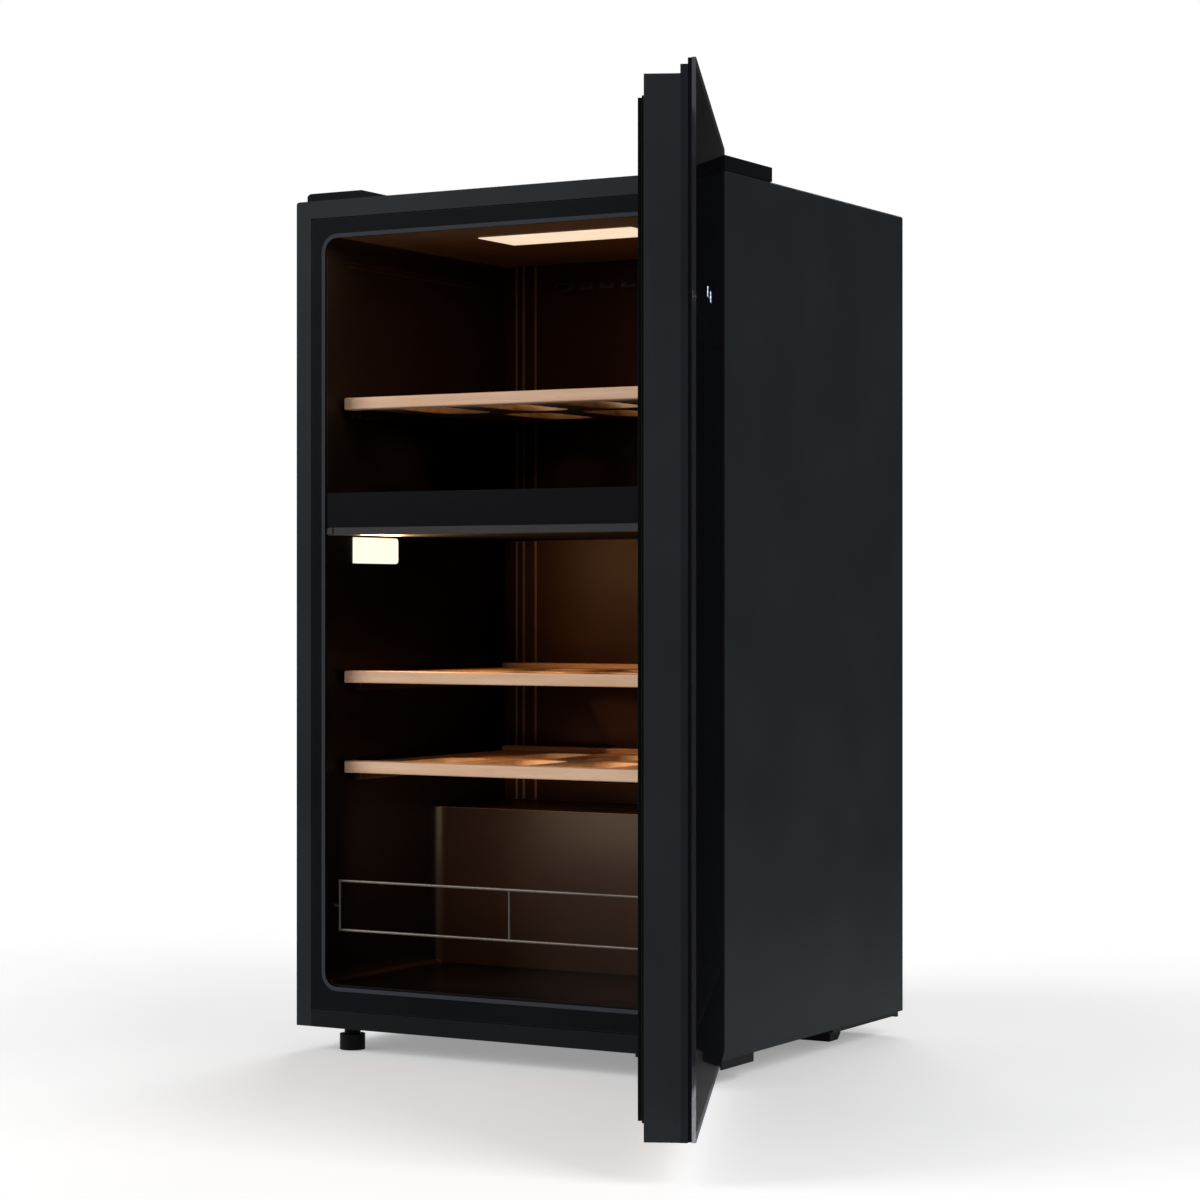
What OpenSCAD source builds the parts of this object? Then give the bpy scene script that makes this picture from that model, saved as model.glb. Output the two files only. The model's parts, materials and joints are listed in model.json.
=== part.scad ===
// Two-zone compressor wine cooler, door standing open, shelves in.
// Millimetres, +Z up, front towards -Y. The origin lies on the floor under the middle of the cabinet.
// Heights inside the modules are counted from the cabinet's underside, which stands foot_h above the floor.

/* [Cabinet] */
// Width of the cabinet body
cabinet_w = 480; // [476:1:500]
// Depth of the cabinet body behind the door
cabinet_d = 402; // [400:1:420]
// Height of the cabinet body without its feet
cabinet_h = 822; // [818:1:840]
// Height of the feet under the cabinet
foot_h = 24; // [20:1:30]
// Thickness of the painted steel sheets
sheet_t = 1.2; // [0.8:0.1:1.4]
// Width of the steel flange round the front
flange_w = 17.5; // [16:0.5:18]

/* [Compartments] */
// Inside width of the liner
cavity_w = 410; // [404:1:411]
// Height of the liner's floor
cavity_low = 43; // [42:1:46]
// Height of the liner's ceiling
cavity_high = 788; // [786:1:790]
// Depth position of the liner's rear wall
cavity_back = 165; // [163:1:168]
// Wall thickness of the liner
liner_t = 2; // [1.5:0.1:2.5]
// Corner radius of the front opening
opening_r = 14; // [10:1:18]
// Height of the opening's lower edge
opening_low = 41; // [40:1:42]
// Height of the opening's upper edge
opening_high = 784; // [780:1:785]
// Top of the divider between the two zones
divider_top = 531; // [528:1:534]
// Underside of the divider
divider_low = 489; // [486:1:492]
// Top of the step over the machine bay
hump_top = 208; // [206:1:212]
// Depth position of the step's front
hump_front = 0; // [-4:1:4]

/* [Door] */
// Angle that the door stands open
door_angle = 115; // [0:1:120]
// Height of the door's lower edge
door_low = 10; // [9:1:11]
// Top of the door frame
frame_high = 826.6; // [826:0.1:827]
// Top of the stepped trim
trim_high = 833.6; // [830:0.1:836]
// Top of the front glass
glass_high = 839; // [836:1:842]
// Thickness of the front glass
glass_t = 3.2; // [3:0.1:4]
// Inset of the hinge axis from the cabinet's side
hinge_inset = 12; // [12:0.5:14]
// Width of the window
window_w = 376; // [340:2:380]
// Lower edge of the window
window_low = 88; // [80:1:100]
// Upper edge of the window
window_high = 658; // [640:1:660]

/* [Shelves] */
// Top of the upper shelf
upper_shelf_top = 627; // [620:1:640]
// Top of the middle shelf
middle_shelf_top = 354; // [348:1:360]
// Top of the lower shelf
lower_shelf_top = 264; // [258:1:270]
// Height of a shelf's front rail
rail_h = 12; // [11:0.5:14]
// Thickness of a shelf board
board_t = 8; // [7:0.5:9]

/* [Hinges] */
// Radius of the hinge pins
pin_r = 4; // [3.5:0.1:4.5]
// Height of the hinge cover above the cabinet
cover_h = 13.5; // [13:0.5:16]

/* [Hidden] */
$fn = 48;
gap = 0.2;
cut = 1;
half_w = cabinet_w / 2;
half_d = cabinet_d / 2;
front_y = -half_d;
back_y = half_d - 1;
inner_w = cabinet_w - 2 * sheet_t - 2 * gap;

// Front frame: a groove beside the flange, a lip behind it and a bead at the opening
frame_t = 3;
frame_r = 3;
groove_w = 0.8;
lip_reach = 4;
bead_w = 4;
bead_h = 0.8;
shell_r = 3;
flange_hw = half_w - flange_w;

// Liner
wall_x = cavity_w / 2;
liner_r = 8;
step_r = 12;
duct_y = 138;
duct_skin = 2.5;
duct_hw = wall_x - 16;

// Machine bay under the rear of the cabinet
bay_front = 20;
bay_top = 190;
bay_cover_y = 198;
tray_z = -4.2;
tray_t = 1.5;
inlet_at = [188, 60];
inlet_hw = 13.5;
inlet_hh = 10;

// Door layers from the outside to the gasket
gasket_t = 5.7;
door_inner_y = front_y - 6;
frame_front_y = door_inner_y - 28;
trim_front_y = frame_front_y - 5.7;
glass_back_y = trim_front_y - 3.1;
glass_front_y = glass_back_y - glass_t;
glue = 0.05;
hinge_x = half_w - hinge_inset;
hinge_y = glass_front_y + 23;
pane_t = 3.2;
pane_y = frame_front_y + 5;
pane_r = 3.5;
window_r = 4;
lip = 8;
display_hw = 45;
display_z = [672, 692];

// Hinges
plate_t = 3;
nose_low = cabinet_h + 6;
nose_r = 8.4;
open_limit = 120;
pad_x = [half_w - 78, half_w - 2.6];
pad_d = 101;
riser_w = 63;
pin_clear = 0.02;
bush_clear = 0.05;
bush_r = 6.5;
bush_h = 15;
bush_rim_r = 8.2;
bush_rim_t = 0.95;

// Screws and the pockets in the foam that they reach into
hole_r = 2.1;
shank_r = 1.95;
head_r = 3.6;
head_h = 2.2;
long_screw = 13;
short_screw = 6;
pocket_r = 2.6;
pocket_h = 16;

// Shelves and their ledges
shelf_front_y = front_y + 26;
shelf_back_y = duct_y - 2;
shelf_hw = wall_x - 4;
rail_d = 18;
board_drop = 2;
cradle = [60, 110];
cradle_r = 22;
cradle_pitch = 92;
cradle_row = 130;
cradle_first = 70;
bar_d = 14;
bar_rise = 3;
ledge_w = 9;
ledge_h = 9;
ledge_clear = 0.4;

// Lamps
ceiling_lamp = [176, 68, -68];
wall_lamp = [80, 26];
wall_lamp_y = -113;
wall_lamp_z = 475;

// Feet
foot_x = half_w - 47;
foot_y = front_y + 30;
foot_r = 12.7;
stud_r = 4;
stud_rise = 18;

// Fans
fan_y = duct_y + duct_skin + 0.6;
fan_w = 92;
fan_depth = 18;
fan_r = 43;
hub_r = 15;
shaft_r = 2;
upper_fan_z = 592;
lower_fan_z = 432;

// Refrigeration
compressor_at = [40, 112];
compressor_r = 60;
compressor_low = 6;
riser_at = [-150, 180];
riser_low = 165;
sleeve_r = 3.3;
channel_r = 4;
drain_at = [40, 152];
drain_low = 146;
drain_r = 5;
upper_evap_z = 712;
lower_evap_z = 300;
line_r = 2.5;
elbow_extra = 0.4;
tee_r = 3.4;

// ---------- shared shapes ----------

// Lifts a child from the cabinet's underside to its height over the floor
module at_height() {
    translate([0, 0, foot_h]) children();
}

// Turns a child drawn on the closed door to where the open door stands
module on_door() {
    at_height()
        translate([hinge_x, hinge_y, 0])
            rotate([0, 0, door_angle])
                translate([-hinge_x, -hinge_y, 0]) children();
}

// Block between two corners
module block(low, high) {
    translate(low) cube(high - low);
}

// Stands a flat outline up, with its front at y; the outline's y becomes height
module upright(y, depth) {
    translate([0, y + depth, 0]) rotate([90, 0, 0]) linear_extrude(depth) children();
}

// Runs a side-view outline (depth, height) across the cabinet
module across(width) {
    rotate([90, 0, 90]) linear_extrude(width, center = true) children();
}

// Rectangle with true round corners between two heights
module opening_outline(width, low, high, r) {
    mid = (low + high) / 2;
    tall = high - low;
    translate([0, mid]) square([width - 2 * r, tall], center = true);
    translate([0, mid]) square([width, tall - 2 * r], center = true);
    for (x = [-1, 1], z = [-1, 1])
        translate([x * (width / 2 - r), mid + z * (tall / 2 - r)]) circle(r);
}

// Upright frame: an outer outline with an opening
module upright_ring(y, depth, outer, inner) {
    upright(y, depth)
        difference() {
            opening_outline(outer[0], outer[1], outer[2], outer[3]);
            opening_outline(inner[0], inner[1], inner[2], inner[3]);
        }
}

// Plan of a tub that is open at the front and round at its two rear corners
module tub_plan(hw, front, back, r) {
    translate([-hw, front]) square([2 * hw, back - r - front]);
    translate([-hw + r, front]) square([2 * (hw - r), back - front]);
    for (x = [-1, 1]) translate([x * (hw - r), back - r]) circle(r);
}

// The space inside the liner, grown outwards by g, from the front plane given
module cavity(g, front) {
    hw = wall_x + g;
    intersection() {
        upright(front, cavity_back + g - front)
            opening_outline(2 * hw, cavity_low - g, cavity_high + g, opening_r + g);
        union() {
            translate([0, 0, hump_top - g]) linear_extrude(cabinet_h - hump_top)
                tub_plan(hw, front, cavity_back + g, liner_r + g);
            linear_extrude(hump_top) tub_plan(hw, front, hump_front + g, step_r + g);
        }
    }
}

// Round tube run through a list of points, with a slightly fuller elbow at each bend
module pipe(points, r) {
    for (i = [0 : len(points) - 2]) {
        run = points[i + 1] - points[i];
        flat = norm([run[0], run[1]]);
        translate(points[i]) rotate([0, atan2(flat, run[2]), atan2(run[1], run[0])])
            cylinder(r = r, h = norm(run));
    }
    for (i = [1 : len(points) - 2]) translate(points[i]) sphere(r + elbow_extra);
}

// Flat serpentine tube in the XZ plane, centred
module serpentine(runs, pitch, length, r) {
    for (i = [0 : runs - 1])
        translate([-length / 2, 0, (i - (runs - 1) / 2) * pitch])
            rotate([0, 90, 0]) cylinder(r = r, h = length);
    for (i = [0 : runs - 2])
        translate([(i % 2 == 0 ? 1 : -1) * length / 2, 0, (i + 1 - runs / 2) * pitch])
            rotate([90, i % 2 == 0 ? 0 : 180, 0])
                rotate([0, 0, -90]) rotate_extrude(angle = 180)
                    translate([pitch / 2, 0]) circle(r);
}

// Pan-head screw whose shank points down from z = 0
module pan_screw(length) {
    cylinder(r = head_r, h = head_h);
    translate([0, 0, -length]) cylinder(r = shank_r, h = length);
}

// Places a child at each hole of the upper hinge plate
module at_top_hinge_holes() {
    for (x = [half_w - 65, half_w - 18], y = [front_y + 51, front_y + 76])
        translate([x, y, 0]) children();
}

// Places a child at each hole of the lower hinge bracket
module at_bottom_hinge_holes() {
    for (x = [half_w - 78, half_w - 15], y = [front_y + 12, front_y + 54])
        translate([x, y, 0]) children();
}

// Places a child at each hole of the rear bay's cover, with its axis towards the rear
module at_bay_cover_holes() {
    edge = 12;
    for (x = [-1, 0, 1], z = [edge - 2, bay_top - edge])
        translate([x * (half_w - edge), bay_cover_y + sheet_t, z]) rotate([-90, 0, 0]) children();
}

// Bore through a horizontal sheet whose underside is at low
module bore(r, low, thick) {
    translate([0, 0, low - cut]) cylinder(r = r, h = thick + 2 * cut);
}

// Places a child at the levelling feet
module at_studs() {
    for (x = [-1, 1]) translate([x * foot_x, foot_y, 0]) children();
}

// ---------- cabinet ----------

// Front view of the wrap: square feet, slightly round upper corners
module wrap_outline(inset) {
    r = shell_r - inset;
    low = inset > 0 ? -1 : 0;
    translate([-half_w + inset, low])
        square([cabinet_w - 2 * inset, cabinet_h - shell_r - low]);
    translate([-half_w + shell_r, low])
        square([cabinet_w - 2 * shell_r, cabinet_h - inset - low]);
    for (x = [-1, 1]) translate([x * (half_w - shell_r), cabinet_h - shell_r]) circle(r);
}

// Painted steel wrap: two sides, the top and the flange round the front
module outer_shell() {
    color("#25292c") at_height()
        difference() {
            upright(front_y, cabinet_d) wrap_outline(0);
            upright(front_y + sheet_t, cabinet_d) wrap_outline(sheet_t);
            block([-flange_hw, front_y - cut, -cut],
                  [flange_hw, front_y + sheet_t + cut, cabinet_h - flange_w]);
            at_top_hinge_holes() bore(hole_r, cabinet_h - sheet_t, sheet_t);
        }
}

// Flat steel back with three pressed beads
module rear_panel() {
    bead_hh = 6;
    proud = 0.5;
    color("#202326") at_height() {
        intersection() {
            block([-inner_w / 2, back_y - sheet_t, bay_top + gap],
                  [inner_w / 2, back_y, cabinet_h - sheet_t - gap]);
            upright(front_y, cabinet_d) wrap_outline(sheet_t + gap);
        }
        for (z = [300, 480, 660])
            upright(back_y - proud, 3 * proud)
                opening_outline(inner_w - 80, z - bead_hh, z + bead_hh, bead_hh - 0.1);
    }
}

// Bent base sheet: front flange, floor, and the wall and roof of the machine bay
module bottom_plate() {
    roof_back = back_y - sheet_t - gap;
    floor_front = front_y + sheet_t + gap;
    color("#1b1e20") at_height()
        difference() {
            union() {
                across(2 * flange_hw - 2 * gap)
                    translate([front_y, 0]) square([sheet_t + 2 * gap, flange_w]);
                across(inner_w) {
                    translate([floor_front, 0]) square([bay_front - floor_front, sheet_t]);
                    translate([bay_front - sheet_t, 0]) square([sheet_t, bay_top]);
                    translate([bay_front - sheet_t, bay_top - sheet_t])
                        square([roof_back - bay_front + sheet_t, sheet_t]);
                }
            }
            at_studs() bore(stud_r + 0.06, 0, sheet_t);
            at_bottom_hinge_holes() bore(hole_r, 0, sheet_t);
            translate(riser_at) bore(sleeve_r, bay_top - sheet_t, sheet_t);
            translate(drain_at) bore(drain_r + gap, bay_top - sheet_t, sheet_t);
        }
}

// Polyurethane foam that fills the walls between the liner and the steel
module insulation_foam() {
    back = back_y - sheet_t - 0.5 - gap;
    color("#d9cfa3") at_height()
        difference() {
            intersection() {
                block([-inner_w / 2, front_y + frame_t + gap, sheet_t + gap],
                      [inner_w / 2, back, cabinet_h - sheet_t - gap]);
                upright(front_y, cabinet_d) wrap_outline(sheet_t + gap);
            }
            block([-half_w, bay_front - sheet_t - gap, 0], [half_w, half_d, bay_top + gap]);
            cavity(liner_t + gap, front_y);
            at_studs() cylinder(r = stud_r + 2, h = stud_rise + 6);
            at_bottom_hinge_holes() cylinder(r = pocket_r, h = pocket_h);
            translate([0, 0, cabinet_h - pocket_h]) at_top_hinge_holes()
                cylinder(r = pocket_r, h = pocket_h);
            ceiling_lamp_space(5.5, 20);
            wall_lamp_space(4.5, 16);
            translate([riser_at[0], riser_at[1], bay_top - 5])
                cylinder(r = channel_r, h = upper_evap_z - bay_top + 10);
            for (z = [upper_evap_z, lower_evap_z])
                translate([riser_at[0], riser_at[1], z]) rotate([90, 0, 0])
                    cylinder(r = channel_r, h = 20);
            translate([drain_at[0], drain_at[1], bay_top - 5]) cylinder(r = drain_r + 0.4, h = 30);
        }
}

// Vacuum-formed tub with shelf ledges and the step over the machine bay
module inner_liner() {
    color("#1c120c") at_height()
        difference() {
            union() {
                difference() {
                    cavity(liner_t, front_y + frame_t + gap);
                    cavity(0, front_y - 5);
                }
                for (top = [upper_shelf_top, middle_shelf_top, lower_shelf_top])
                    shelf_ledges(top - board_drop - board_t - ledge_clear);
                wall_rib(cavity_high - 24);
            }
            ceiling_lamp_space(0.3, 6);
            wall_lamp_space(0.3, 6);
            for (z = [upper_evap_z, lower_evap_z])
                translate([riser_at[0], cavity_back - 2, z]) rotate([-90, 0, 0])
                    cylinder(r = sleeve_r, h = 10);
            translate(drain_at) bore(drain_r + gap, hump_top - 7, 10);
        }
}

// Strip along each side wall, standing out by w, with its upper face at top
module wall_strip(front, top, w, h) {
    for (side = [-1, 1])
        block([side > 0 ? wall_x - w : -wall_x - 1, front, top - h],
              [side > 0 ? wall_x + 1 : -wall_x + w, duct_y - 6, top]);
}

// Pair of ledges that carry one shelf, with their upper faces at the height given
module shelf_ledges(top) {
    wall_strip(shelf_front_y + rail_d + 4, top, ledge_w, ledge_h);
}

// Shallow moulded rib high on each side wall
module wall_rib(top) {
    wall_strip(front_y + 36, top, 2.5, 5);
}

// Room for the ceiling lamp, grown by g on every side and rising by tall over the ceiling
module ceiling_lamp_space(g, tall) {
    block([-ceiling_lamp[0] / 2 - g, ceiling_lamp[2] - ceiling_lamp[1] / 2 - g, cavity_high - 1],
          [ceiling_lamp[0] / 2 + g, ceiling_lamp[2] + ceiling_lamp[1] / 2 + g, cavity_high + tall]);
}

// Room for the lamp in the left wall, grown by g and reaching deep into the wall
module wall_lamp_space(g, deep) {
    block([-wall_x - deep, wall_lamp_y - wall_lamp[0] / 2 - g, wall_lamp_z - wall_lamp[1] / 2 - g],
          [-wall_x + 1, wall_lamp_y + wall_lamp[0] / 2 + g, wall_lamp_z + wall_lamp[1] / 2 + g]);
}

// Moulded frame round the opening, with a fine bead at its inner edge and a lip behind the flanges
module face_frame() {
    outer = [2 * (flange_hw - groove_w), flange_w + groove_w, cabinet_h - flange_w - groove_w, frame_r];
    open = [cavity_w, opening_low, opening_high, opening_r];
    bead = [cavity_w + 2 * bead_w, opening_low - bead_w, opening_high + bead_w,
            opening_r + bead_w];
    lip_y = front_y + sheet_t + 3 * gap;
    color("#1f1f21") at_height() {
        upright_ring(front_y, frame_t, outer, open);
        upright_ring(front_y - bead_h, frame_t, bead, open);
        upright_ring(lip_y, front_y + frame_t - lip_y,
                     outer + lip_reach * [2, -1, 1, 0], outer + lip_reach * [-2, 1, -1, 0]);
    }
}

// Insulated slab between the two zones; bottles lie on its top
module divider_core() {
    color("#141416") at_height()
        block([-wall_x + gap, front_y + 10, divider_low + 1],
              [wall_x - gap, duct_y - gap, divider_top]);
}

// Flat front panel of the divider
module divider_trim() {
    color("#18191b") at_height()
        upright(front_y + 1, 8.6)
            opening_outline(cavity_w - 2 * gap, divider_low + 8, divider_top, 1);
}

// Lighter strip along the divider's lower edge, with a plug at each end
module divider_strip() {
    plug = [3.2, 2.8];
    color("#2c2829") at_height() {
        block([-wall_x + gap, front_y + 2, divider_low],
              [wall_x - gap, front_y + 9.6, divider_low + 7.7]);
        for (x = [-1, 1])
            translate([x * (wall_x - 4.5), front_y, divider_low + 4])
                block([-plug[0], 0.8, -plug[1]], [plug[0], 3, plug[1]]);
    }
}

// ---------- air, cold and light ----------

// Panel over a duct: full-width skin, a box behind it, a round grille and a row of louvres
module duct_cover(low, high, fan_z, louvre_z) {
    louvre = [9, 3];
    fin = [16, 38, 2];
    color("#1e130c") at_height()
        difference() {
            intersection() {
                cavity(-0.4, front_y);
                union() {
                    block([-half_w, duct_y, low + gap], [half_w, duct_y + duct_skin, high - gap]);
                    block([-duct_hw, duct_y, low + gap], [duct_hw, cavity_back, high - gap]);
                }
            }
            block([-duct_hw + duct_skin, duct_y + duct_skin, low + gap + duct_skin],
                  [duct_hw - duct_skin, cavity_back + 5, high - gap - duct_skin]);
            for (a = [0 : 20 : 340])
                translate([0, duct_y - cut, fan_z]) rotate([0, a, 0])
                    block([fin[0], 0, -fin[2]], [fin[1], duct_skin + 2 * cut, fin[2]]);
            for (x = [-5 : 5])
                translate([x * 26, duct_y, louvre_z])
                    block([-louvre[0], -cut, -louvre[1]], [louvre[0], duct_skin + cut, louvre[1]]);
            for (side = [-1, 1], x = [166, 181, 190])
                block([side * x - 1, duct_y - 1, low + 6], [side * x + 1, duct_y + 1, high - 6]);
        }
}

module upper_duct_cover() {
    duct_cover(divider_top, cavity_high, upper_fan_z, cavity_high - 26);
}

module lower_duct_cover() {
    duct_cover(hump_top, divider_low, lower_fan_z, hump_top + 24);
}

// Plate evaporator with its serpentine tube
module evaporator(z) {
    plate = [170, 56];
    color("#b9bdc0") at_height() {
        block([-plate[0], cavity_back - 7, z - plate[1]], [plate[0], cavity_back - 5.5, z + plate[1]]);
        translate([0, cavity_back - 10.8, z])
            serpentine(runs = 5, pitch = 22, length = 280, r = 4);
    }
}

module upper_evaporator() {
    evaporator(upper_evap_z);
}

module lower_evaporator() {
    evaporator(lower_evap_z);
}

// Square fan frame with four struts that carry the motor hub
module fan_housing(z) {
    hub_t = 5;
    strut_t = 4;
    color("#26262a") at_height()
        translate([0, fan_y, z]) {
            upright(0, fan_depth)
                difference() {
                    square(fan_w, center = true);
                    circle(fan_r);
                }
            difference() {
                union() {
                    upright(fan_depth - hub_t, hub_t) circle(hub_r);
                    for (a = [45, 135])
                        upright(fan_depth - strut_t, strut_t) rotate(a)
                            square([2 * fan_r + 2, 5], center = true);
                }
                upright(fan_depth - hub_t - cut, hub_t + 2 * cut) circle(shaft_r + 0.05);
            }
        }
}

module upper_fan_housing() {
    fan_housing(upper_fan_z);
}

module lower_fan_housing() {
    fan_housing(lower_fan_z);
}

// Seven-bladed rotor on its shaft
module fan_rotor(z) {
    blades = 7;
    pitch = 38;
    front = 1.5;
    hub_t = fan_depth - 7;
    color("#33343a") at_height()
        translate([0, fan_y, z]) {
            upright(front, hub_t) circle(hub_r);
            upright(front, fan_depth - 3) circle(shaft_r);
            intersection() {
                upright(0, fan_depth - 5) circle(fan_r - 1.5);
                for (i = [0 : blades - 1])
                    translate([0, front + hub_t / 2, 0])
                        rotate([0, i * 360 / blades, 0]) rotate([pitch, 0, 0])
                            block([hub_r - 2, -1, -8], [fan_r, 1, 8]);
            }
        }
}

module upper_fan_rotor() {
    fan_rotor(upper_fan_z);
}

module lower_fan_rotor() {
    fan_rotor(lower_fan_z);
}

// Tray behind the ceiling that holds the light strip
module ceiling_lamp_housing() {
    wall = 4;
    hw = ceiling_lamp[0] / 2 + wall;
    hd = ceiling_lamp[1] / 2 + wall;
    low = cavity_high + liner_t + gap;
    color("#e6e0d4") at_height()
        difference() {
            block([-hw, ceiling_lamp[2] - hd, low], [hw, ceiling_lamp[2] + hd, low + 14]);
            block([-hw + wall, ceiling_lamp[2] - hd + wall, low - cut],
                  [hw - wall, ceiling_lamp[2] + hd - wall, low + 11]);
        }
}

// Diffuser of the ceiling lamp
module ceiling_lamp_lens() {
    hw = ceiling_lamp[0] / 2;
    hd = ceiling_lamp[1] / 2;
    color("#fff1d6") at_height()
        block([-hw, ceiling_lamp[2] - hd, cavity_high - 0.8],
              [hw, ceiling_lamp[2] + hd, cavity_high + liner_t]);
}

// Tray behind the left wall that holds the lower light
module wall_lamp_housing() {
    wall = 3;
    depth = 11;
    hd = wall_lamp[0] / 2 + wall;
    hh = wall_lamp[1] / 2 + wall;
    x = -wall_x - liner_t - gap;
    color("#e6e0d4") at_height()
        translate([x, wall_lamp_y, wall_lamp_z])
            difference() {
                block([-depth, -hd, -hh], [0, hd, hh]);
                block([wall - depth, wall - hd, wall - hh], [cut, hd - wall, hh - wall]);
            }
}

// Diffuser of the lower light, with round corners
module wall_lamp_lens() {
    color("#fffbe8") at_height()
        translate([-wall_x - liner_t, wall_lamp_y, wall_lamp_z])
            rotate([90, 0, 90]) linear_extrude(liner_t + 1.4)
                opening_outline(wall_lamp[0], -wall_lamp[1] / 2, wall_lamp[1] / 2, 4);
}

// One sensor capsule per zone on the right wall
module temperature_sensors() {
    r = 4.6;
    tall = 26;
    color("#d8d8d4") at_height()
        for (z = [divider_top + 150, divider_low - 110])
            translate([wall_x - r - 0.8, 60, z]) {
                cylinder(r = r, h = tall);
                for (end = [0, tall]) translate([0, 0, end]) sphere(r);
                block([0, -3, 2], [r + 0.6, 3, tall - 2]);
            }
}

// Bent wire loop that stops bottles rolling out of the lowest bay, on a pin in each side wall
module bottle_guard() {
    wire_r = 1.4;
    bend_r = 1.55;
    pin_wire_r = 1.2;
    hw = wall_x - 6.5;
    low = 96;
    tall = 49;
    color("#2b2a2a") at_height()
        translate([0, front_y + 16, low]) {
            for (z = [0, tall], x = [-hw, hw]) translate([x, 0, z]) sphere(bend_r);
            for (z = [0, tall])
                translate([-hw, 0, z]) rotate([0, 90, 0]) cylinder(r = wire_r, h = 2 * hw);
            for (x = [-hw, 0, hw]) translate([x, 0, 0]) cylinder(r = wire_r - 0.05, h = tall);
            for (side = [-1, 1])
                translate([side * hw, 0, tall / 2]) rotate([0, side * 90, 0])
                    cylinder(r = pin_wire_r, h = wall_x - gap - hw);
        }
}

// ---------- hinges ----------

// Plan of the upper hinge's nose, grown by g. Its flanks run just inside the round end's tangents,
// so the nose keeps behind the line that the door's front reaches when it is fully open.
module nose_plan(g) {
    r = nose_r + g;
    flank = 0.94 * r;
    back = front_y + 1.5 - hinge_y;
    turn = open_limit - 90;
    spread = 30;
    right_run = (back - flank * sin(turn)) / cos(turn);
    left_run = (back + flank * cos(spread)) / sin(spread);
    translate([hinge_x, hinge_y]) {
        circle(r);
        polygon([
            [0, 0],
            flank * [cos(turn), sin(turn)],
            [flank * cos(turn) - right_run * sin(turn), back],
            [-flank * sin(spread) - left_run * cos(spread), back],
            flank * [-sin(spread), -cos(spread)]
        ]);
    }
}

// Plan of the hinge's pad on the cabinet, grown by g at its sides and rear, from the front given
module pad_plan(g, front) {
    low = [pad_x[0] - g, front];
    high = [pad_x[1] + g, front_y + pad_d + g];
    translate(low) square(high - low);
}

// Stamped steel hinge plate: pad, riser and nose
module hinge_top_plate() {
    front = front_y + 1;
    color("#6f7275") at_height()
        difference() {
            union() {
                translate([0, 0, cabinet_h]) linear_extrude(plate_t) pad_plan(0, front);
                block([pad_x[0], front, cabinet_h],
                      [pad_x[0] + riser_w, front + plate_t, nose_low + plate_t]);
                translate([0, 0, nose_low]) linear_extrude(plate_t) nose_plan(0);
            }
            translate([hinge_x, hinge_y, 0]) bore(pin_r + pin_clear, nose_low, plate_t);
            at_top_hinge_holes() bore(hole_r, cabinet_h, plate_t);
        }
}

// Riveted steel pin of the upper hinge
module hinge_top_pin() {
    reach = 14;
    top = nose_low + plate_t;
    color("#a9abad") at_height()
        translate([hinge_x, hinge_y, 0]) {
            translate([0, 0, frame_high - reach]) cylinder(r = pin_r, h = top - frame_high + reach);
            translate([0, 0, top]) cylinder(r = pin_r + 2, h = 1.2);
        }
}

// Moulded cover over the upper hinge, open underneath, with a thin front wall
module hinge_top_cover() {
    wall = 1.6;
    clear = 0.5;
    nose_base = frame_high + 0.6;
    roof = cabinet_h + cover_h;
    color("#1c1d20") at_height()
        difference() {
            union() {
                translate([0, 0, cabinet_h]) linear_extrude(cover_h)
                    pad_plan(wall + clear, front_y + 0.5);
                translate([0, 0, nose_base]) linear_extrude(roof - nose_base)
                    nose_plan(wall + clear);
            }
            translate([0, 0, cabinet_h - cut]) linear_extrude(cover_h + cut - wall) {
                pad_plan(clear, front_y + 1);
                nose_plan(clear);
            }
        }
}

// Low cap over the unused hinge holes on the left
module blank_cap() {
    edge = 5.5;
    tall = 7.8;
    flat = [3.5, 65];
    length = 91;
    depth = 50;
    wall = 2;
    color("#1c1d20") at_height()
        translate([-half_w + 12, front_y + 1, cabinet_h])
            difference() {
                upright(0, depth)
                    polygon([
                        [0, 0],
                        [0, edge],
                        [flat[0], tall],
                        [flat[1], tall],
                        [length, 1],
                        [length, 0]
                    ]);
                block([wall, wall, -cut], [flat[1] - 3, depth - wall, 5]);
            }
}

// Steel bracket under the front right corner, with a folded skirt at its outer side and rear
module hinge_bottom_bracket() {
    left = half_w - 92;
    right = half_w - 1;
    front = front_y + 0.4;
    back = front + 65;
    skirt_t = 2;
    skirt_low = -8.7;
    low = -plate_t - gap;
    color("#17181a") at_height()
        difference() {
            union() {
                translate([0, 0, low]) linear_extrude(plate_t) {
                    nose_plan(1.6);
                    translate([left, front]) square([right - left, back - front]);
                }
                block([right - skirt_t, front + 0.6, skirt_low], [right, back, -gap]);
                block([left, back - skirt_t, skirt_low], [right, back, -gap]);
            }
            translate([hinge_x, hinge_y, 0]) bore(pin_r + pin_clear, low, plate_t);
            translate([foot_x, foot_y, 0]) bore(stud_r + 0.5, low, plate_t);
            at_bottom_hinge_holes() bore(hole_r, low, plate_t);
        }
}

// Lower hinge pin with the collar that carries the door
module hinge_bottom_pin() {
    reach = 14;
    low = -plate_t - gap;
    color("#a9abad") at_height()
        translate([hinge_x, hinge_y, 0]) {
            translate([0, 0, low]) cylinder(r = pin_r, h = door_low + reach - low);
            cylinder(r = 2 * pin_r, h = door_low - 1.3);
        }
}

// All the pan-head screws: hinge plate, hinge bracket and rear bay cover
module machine_screws() {
    color("#8d9093") at_height() {
        translate([0, 0, cabinet_h + plate_t]) at_top_hinge_holes() pan_screw(long_screw);
        translate([0, 0, -plate_t - gap]) at_bottom_hinge_holes()
            mirror([0, 0, 1]) pan_screw(long_screw);
        at_bay_cover_holes() pan_screw(short_screw);
    }
}

// ---------- machine bay ----------

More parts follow.
